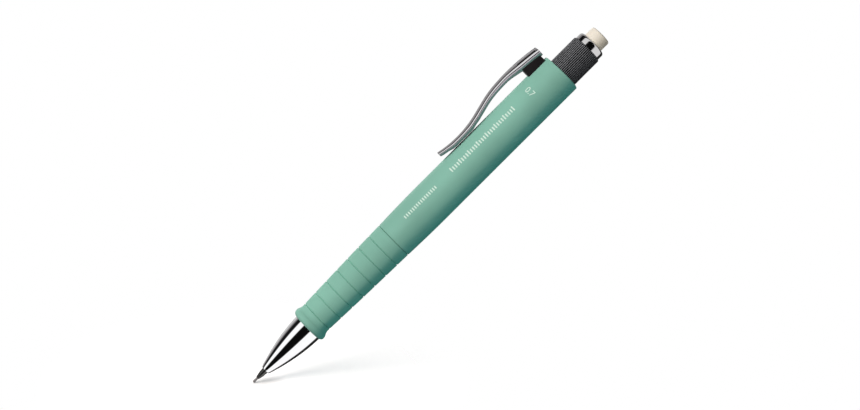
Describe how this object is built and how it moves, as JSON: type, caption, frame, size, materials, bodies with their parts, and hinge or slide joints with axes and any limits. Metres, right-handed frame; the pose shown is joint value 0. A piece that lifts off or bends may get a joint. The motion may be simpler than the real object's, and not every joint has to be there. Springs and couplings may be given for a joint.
{
  "type": "lead holder",
  "caption": "Mechanical pencil with a grooved grip sleeve, bright nose cone, sprung pocket clip, fluted push knob and twist-out eraser.",
  "frame": {"origin": "on the pencil's axis, in the middle of the parallel zone of the barrel", "axes": "-X along the axis towards the writing tip, +X towards the eraser, +Z towards the clip"},
  "size_m": [0.14, 0.0124, 0.0175],
  "materials": {
    "barrel_plastic": "smooth satin moulded plastic, sage green",
    "grip_plastic": "soft-touch moulded plastic, sage green, fine ring grooves",
    "black_plastic": "satin black moulded plastic",
    "knob_plastic": "satin charcoal plastic with fine straight flutes",
    "bright_chrome": "bright polished chrome plate",
    "clip_chrome": "bright polished chrome plate on spring steel",
    "dark_metal": "dark turned metal",
    "graphite": "matt dark graphite",
    "eraser_vinyl": "matt cream vinyl",
    "soft_rubber": "soft black rubber",
    "spring_steel": "drawn spring wire",
    "brass_parts": "turned brass",
    "inner_plastic": "natural white moulded plastic"
  },
  "bodies": {
    "barrel": {"barrel": "barrel_plastic", "grip_sleeve": "grip_plastic", "guide_sleeve": "brass_parts", "return_spring": "spring_steel", "clip_carrier": "black_plastic", "clip_root": "clip_chrome"},
    "clip_arm": {"clip_arm": "clip_chrome"},
    "feed_unit": {"chuck_shank": "brass_parts", "tube_connector": "inner_plastic", "lead_tube": "inner_plastic", "spare_leads": "graphite"},
    "chuck_jaw_a": {"chuck_jaw_a": "brass_parts"},
    "chuck_jaw_b": {"chuck_jaw_b": "brass_parts"},
    "chuck_jaw_c": {"chuck_jaw_c": "brass_parts"},
    "clutch_ring": {"clutch_ring": "brass_parts"},
    "lead": {"lead": "graphite"},
    "nose_core": {"slider_spring": "spring_steel", "spring_seat": "brass_parts"},
    "nose_cone": {"nose_cone": "bright_chrome"},
    "nose_sleeve": {"nose_sleeve": "dark_metal", "lead_retainer": "soft_rubber"},
    "eraser_unit": {"twist_stem": "inner_plastic"},
    "knob": {"knob": "knob_plastic", "knob_collar": "bright_chrome", "spiral_coil": "spring_steel"},
    "eraser": {"eraser_holder": "inner_plastic", "eraser": "eraser_vinyl"}
  },
  "joints": [
    {"name": "knob_press", "type": "slide", "parent": "barrel", "child": "feed_unit", "axis": [-1, 0, 0], "range_m": [0, 0.003], "stiffness_N_per_m": 800, "deforming": ["return_spring"]},
    {"name": "chuck_jaw_a_spread", "type": "hinge", "parent": "feed_unit", "child": "chuck_jaw_a", "pos_m": [-0.051, 0, 0.00108], "axis": [0, 1, 0], "range_deg": [0, 1.8]},
    {"name": "chuck_jaw_b_spread", "type": "hinge", "parent": "feed_unit", "child": "chuck_jaw_b", "pos_m": [-0.051, -0.00094, -0.00054], "axis": [0, -0.5, 0.866], "range_deg": [0, 1.8]},
    {"name": "chuck_jaw_c_spread", "type": "hinge", "parent": "feed_unit", "child": "chuck_jaw_c", "pos_m": [-0.051, 0.00094, -0.00054], "axis": [0, -0.5, -0.866], "range_deg": [0, 1.8]},
    {"name": "clutch_travel", "type": "slide", "parent": "barrel", "child": "clutch_ring", "axis": [-1, 0, 0], "range_m": [0, 0.0007]},
    {"name": "lead_advance", "type": "slide", "parent": "barrel", "child": "lead", "axis": [-1, 0, 0], "range_m": [0, 0.0007]},
    {"name": "unit_pull", "type": "slide", "parent": "feed_unit", "child": "eraser_unit", "axis": [1, 0, 0], "range_m": [0, 0.0065], "stiffness_N_per_m": 500},
    {"name": "eraser_twist", "type": "hinge", "parent": "eraser_unit", "child": "knob", "pos_m": [0.045, 0, 0], "axis": [-1, 0, 0], "range_deg": [-432, 1440]},
    {"name": "eraser_feed", "type": "slide", "parent": "eraser_unit", "child": "eraser", "axis": [1, 0, 0], "range_m": [-0.003, 0.01]},
    {"name": "nose_travel", "type": "slide", "parent": "barrel", "child": "nose_core", "axis": [-1, 0, 0], "range_m": [0, 0.003]},
    {"name": "nose_turn", "type": "hinge", "parent": "nose_core", "child": "nose_cone", "pos_m": [-0.054, 0, 0], "axis": [-1, 0, 0], "range_deg": [0, 1440]},
    {"name": "sleeve_retract", "type": "slide", "parent": "nose_core", "child": "nose_sleeve", "axis": [1, 0, 0], "range_m": [0, 0.0015], "stiffness_N_per_m": 100, "deforming": ["slider_spring"]},
    {"name": "clip_flex", "type": "hinge", "parent": "barrel", "child": "clip_arm", "pos_m": [0.0387, 0, 0.01119], "axis": [0, 1, 0], "range_deg": [0, 6], "stiffness_Nm_per_rad": 0.4}
  ],
  "couplings": [
    {"joint": "chuck_jaw_a_spread", "follows": "knob_press", "rad_per_m": 10.47},
    {"joint": "chuck_jaw_b_spread", "follows": "knob_press", "rad_per_m": 10.47},
    {"joint": "chuck_jaw_c_spread", "follows": "knob_press", "rad_per_m": 10.47},
    {"joint": "clutch_travel", "follows": "knob_press", "ratio": 0.2333},
    {"joint": "lead_advance", "follows": "knob_press", "ratio": 0.2333},
    {"joint": "eraser_twist", "follows": "eraser_feed", "rad_per_m": 2513.2},
    {"joint": "nose_turn", "follows": "nose_travel", "rad_per_m": 8377.5}
  ]
}
